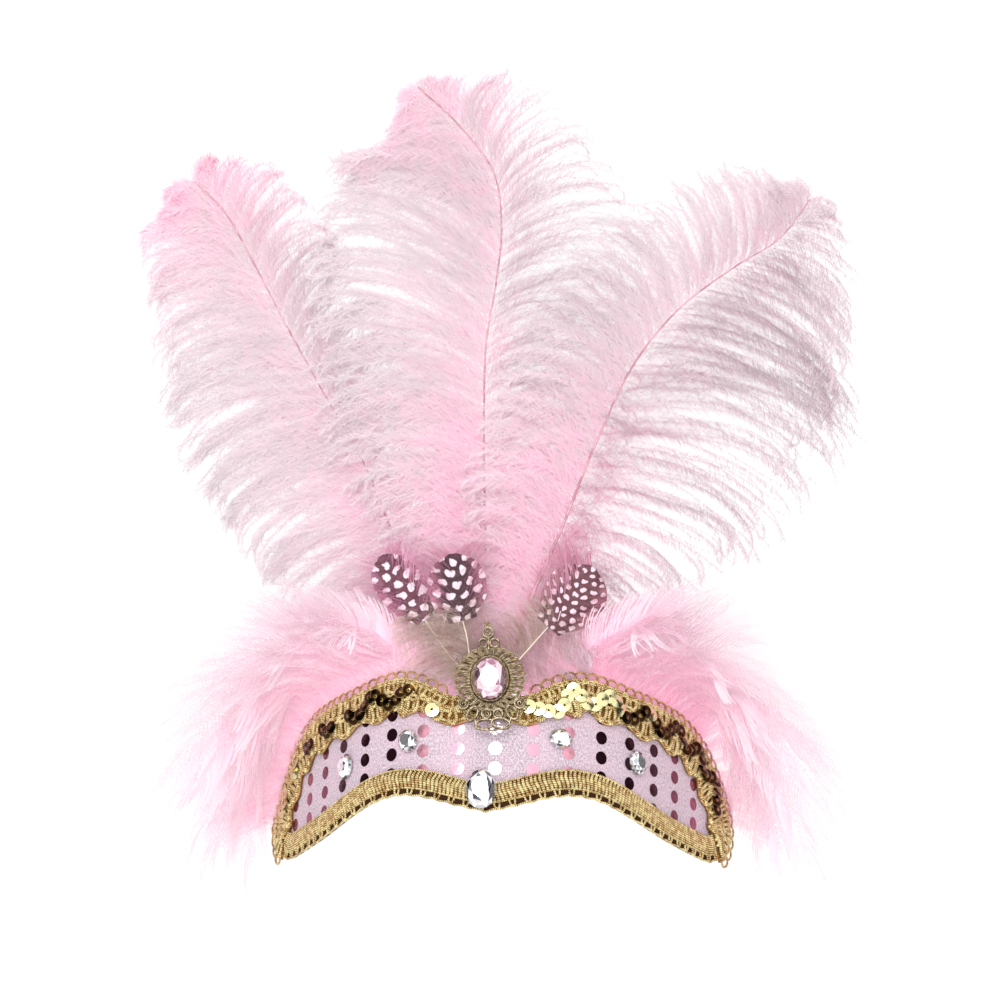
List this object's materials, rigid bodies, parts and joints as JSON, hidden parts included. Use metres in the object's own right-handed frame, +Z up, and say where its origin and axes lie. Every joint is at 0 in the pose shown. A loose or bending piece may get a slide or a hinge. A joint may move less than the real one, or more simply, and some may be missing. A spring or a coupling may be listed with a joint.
{
  "type": "feather headband",
  "caption": "Stiff fabric-covered headband with gold braids, sequins, stones and a pierced brooch, tall ostrich plumes behind it, feather frills at its sides and an elastic strap.",
  "frame": {"origin": "middle of the place where the wearer's head sits, level with the head's seat", "axes": "+Z up along the plumes, -Y out of the front over the brow, +X to the right of someone who looks at the front"},
  "size_m": [0.2838, 0.2176, 0.3167],
  "materials": {
    "pink_fabric": "pale pink ribbed fabric with glued foil dots",
    "gold_braid": "metallic gold gimp braid",
    "dark_gold_sequins": "mirror-bright dark gold",
    "clear_stone": "clear faceted acrylic with a foil back",
    "antique_brass": "darkened stamping with bright high spots",
    "pink_stone": "pale pink faceted acrylic with a foil back",
    "pink_plume": "dyed ostrich feather",
    "spotted_feather": "dark brown guinea fowl feather with pale spots",
    "side_feathers": "dyed soft body feathers",
    "elastic": "plain woven elastic"
  },
  "bodies": {
    "root": {"band": "pink_fabric", "upper_braid": "gold_braid", "lower_braid": "gold_braid", "sequin_string": "dark_gold_sequins", "brooch": "antique_brass", "brooch_stone": "pink_stone", "front_stone": "clear_stone", "stone_left_outer": "clear_stone", "stone_left_inner": "clear_stone", "stone_right_inner": "clear_stone", "stone_right_outer": "clear_stone", "left_plume": "pink_plume", "centre_plume": "pink_plume", "right_plume": "pink_plume", "left_spotted_feather": "spotted_feather", "middle_spotted_feather": "spotted_feather", "right_spotted_feather": "spotted_feather", "left_side_feathers": "side_feathers", "right_side_feathers": "side_feathers", "elastic_strap": "elastic"}
  },
  "joints": []
}
